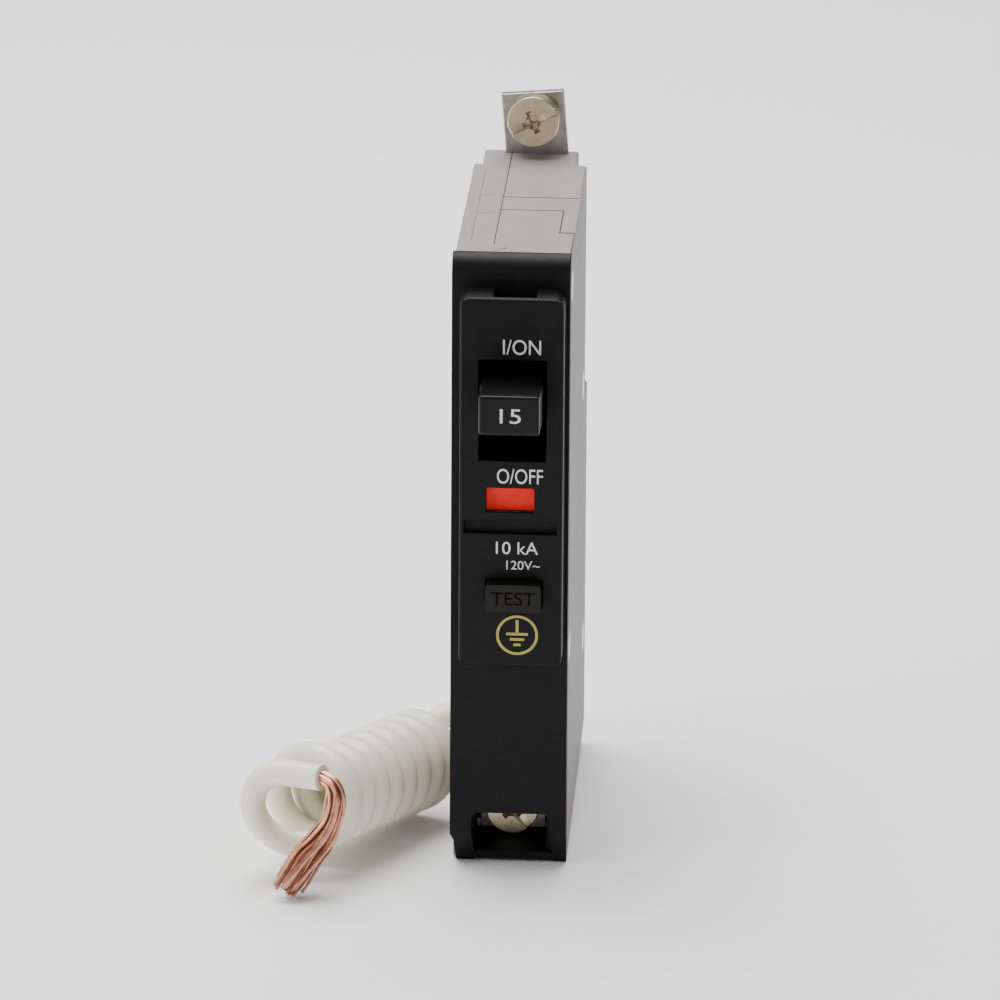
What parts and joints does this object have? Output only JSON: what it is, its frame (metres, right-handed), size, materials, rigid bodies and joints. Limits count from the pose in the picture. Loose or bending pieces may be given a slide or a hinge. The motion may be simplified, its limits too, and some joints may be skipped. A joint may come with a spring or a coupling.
{
  "type": "gfci circuit breaker",
  "caption": "Slim single-pole bolt-on circuit breaker with ground-fault protection, rocker handle, test button, trip flag and a coiled neutral pigtail.",
  "frame": {"origin": "on the line screw's axis, at the back face of the bolt-on tab", "axes": "+X to the right as seen from the front, +Y back towards the bus bar, +Z towards the line end"},
  "size_m": [0.053, 0.0843, 0.115],
  "materials": {
    "grey_case": "moulded thermoset, satin, slightly speckled",
    "black_cap": "moulded thermoset, fine satin",
    "clear_lens": "clear plastic window",
    "inner_plastic": "dark moulded plastic",
    "steel": "plain steel pins and springs",
    "black_handle": "smooth moulded plastic",
    "copper": "bare copper",
    "silver_contact": "silver alloy",
    "tinned_copper": "tin-plated copper, dull silver",
    "zinc_yellow": "yellow zinc plate",
    "zinc_clear": "bright zinc plate",
    "dull_steel": "dull plated steel",
    "fibre": "vulcanised fibre sheet",
    "red_flag": "red moulded plastic",
    "bimetal": "rolled bimetal strip",
    "board_green": "lacquered circuit board",
    "core_blue": "taped toroid",
    "enamel_wire": "enamelled winding wire",
    "button_plastic": "moulded plastic with raised letters",
    "brass_leaf": "spring brass",
    "ivory_plastic": "moulded bushing",
    "ivory_insulation": "smooth wire insulation",
    "bare_copper": "bare stranded copper"
  },
  "bodies": {
    "case": {"base_shell": "grey_case", "cover_shell": "grey_case", "line_end_insert": "grey_case", "front_cap": "black_cap", "indicator_lens": "clear_lens", "divider": "inner_plastic", "case_rivets": "steel", "handle_pin": "steel", "arm_pin": "steel", "fixed_contact": "silver_contact", "line_strap": "tinned_copper", "arc_plates": "dull_steel", "arc_chute_sides": "fibre", "cradle_pin": "steel", "toggle_spring": "steel", "bimetal": "bimetal", "magnetic_yoke": "dull_steel", "armature_pin": "steel", "armature_spring": "steel", "braid": "copper", "load_strap": "tinned_copper", "neutral_strap": "tinned_copper", "circuit_board": "board_green", "board_parts": "inner_plastic", "sensor_core": "core_blue", "solenoid_frame": "dull_steel", "solenoid_coil": "enamel_wire", "plunger_spring": "steel", "test_leaf": "brass_leaf", "pigtail_gland": "ivory_plastic", "pigtail_lead": "ivory_insulation", "pigtail_coil": "ivory_insulation", "pigtail_strands": "bare_copper"},
    "handle": {"handle": "black_handle"},
    "contact_arm": {"contact_arm": "copper", "moving_contact": "silver_contact"},
    "cradle": {"cradle": "dull_steel", "trip_flag": "red_flag"},
    "armature": {"armature": "dull_steel"},
    "plunger": {"plunger": "steel"},
    "test_button": {"test_button": "button_plastic"},
    "load_clamp": {"load_clamp": "tinned_copper"},
    "load_screw": {"load_screw": "zinc_yellow"},
    "neutral_clamp": {"neutral_clamp": "tinned_copper"},
    "neutral_screw": {"neutral_screw": "zinc_clear"},
    "line_washer": {"line_washer": "zinc_yellow"},
    "line_screw": {"line_screw": "zinc_yellow"}
  },
  "joints": [
    {"name": "handle_pivot", "type": "hinge", "parent": "case", "child": "handle", "pos_m": [0.0003, -0.0523, -0.0307], "axis": [-1, 0, 0], "range_deg": [-26, 12]},
    {"name": "arm_pivot", "type": "hinge", "parent": "case", "child": "contact_arm", "pos_m": [0.002, -0.0383, -0.0266], "axis": [1, 0, 0], "range_deg": [-19.5, 9], "deforming": ["toggle_spring", "braid"]},
    {"name": "cradle_pivot", "type": "hinge", "parent": "case", "child": "cradle", "pos_m": [0.0021, -0.0453, -0.0421], "axis": [1, 0, 0], "range_deg": [0, 17]},
    {"name": "armature_pivot", "type": "hinge", "parent": "case", "child": "armature", "pos_m": [0.0021, -0.0231, -0.048], "axis": [1, 0, 0], "range_deg": [0, 4], "stiffness_Nm_per_rad": 0.02, "deforming": ["armature_spring"]},
    {"name": "plunger_slide", "type": "slide", "parent": "case", "child": "plunger", "axis": [0, 1, 0], "range_m": [0, 0.0015], "stiffness_N_per_m": 60, "deforming": ["plunger_spring"]},
    {"name": "test_button_slide", "type": "slide", "parent": "case", "child": "test_button", "axis": [0, 1, 0], "range_m": [0, 0.0014], "stiffness_N_per_m": 120, "deforming": ["test_leaf"]},
    {"name": "load_clamp_slide", "type": "slide", "parent": "case", "child": "load_clamp", "axis": [0, 1, 0], "range_m": [0, 0.0044]},
    {"name": "load_screw_turn", "type": "hinge", "parent": "load_clamp", "child": "load_screw", "pos_m": [-0.0002, -0.0457, -0.1044], "axis": [0, 1, 0], "range_deg": [0, 1996]},
    {"name": "neutral_clamp_slide", "type": "slide", "parent": "case", "child": "neutral_clamp", "axis": [0, 0, 1], "range_m": [0, 0.0044]},
    {"name": "neutral_screw_turn", "type": "hinge", "parent": "neutral_clamp", "child": "neutral_screw", "pos_m": [-0.0002, -0.0233, -0.1026], "axis": [0, 0, 1], "range_deg": [0, 1996]},
    {"name": "line_washer_slide", "type": "slide", "parent": "case", "child": "line_washer", "axis": [0, -1, 0], "range_m": [0, 0.003]},
    {"name": "line_screw_turn", "type": "hinge", "parent": "line_washer", "child": "line_screw", "pos_m": [0, -0.0024, 0], "axis": [0, 1, 0], "range_deg": [-1361, 0]}
  ],
  "couplings": [
    {"joint": "arm_pivot", "follows": "handle_pivot", "ratio": 0.75},
    {"joint": "load_screw_turn", "follows": "load_clamp_slide", "rad_per_m": 7915.8},
    {"joint": "neutral_screw_turn", "follows": "neutral_clamp_slide", "rad_per_m": 7915.8},
    {"joint": "line_screw_turn", "follows": "line_washer_slide", "rad_per_m": -7915.8}
  ]
}
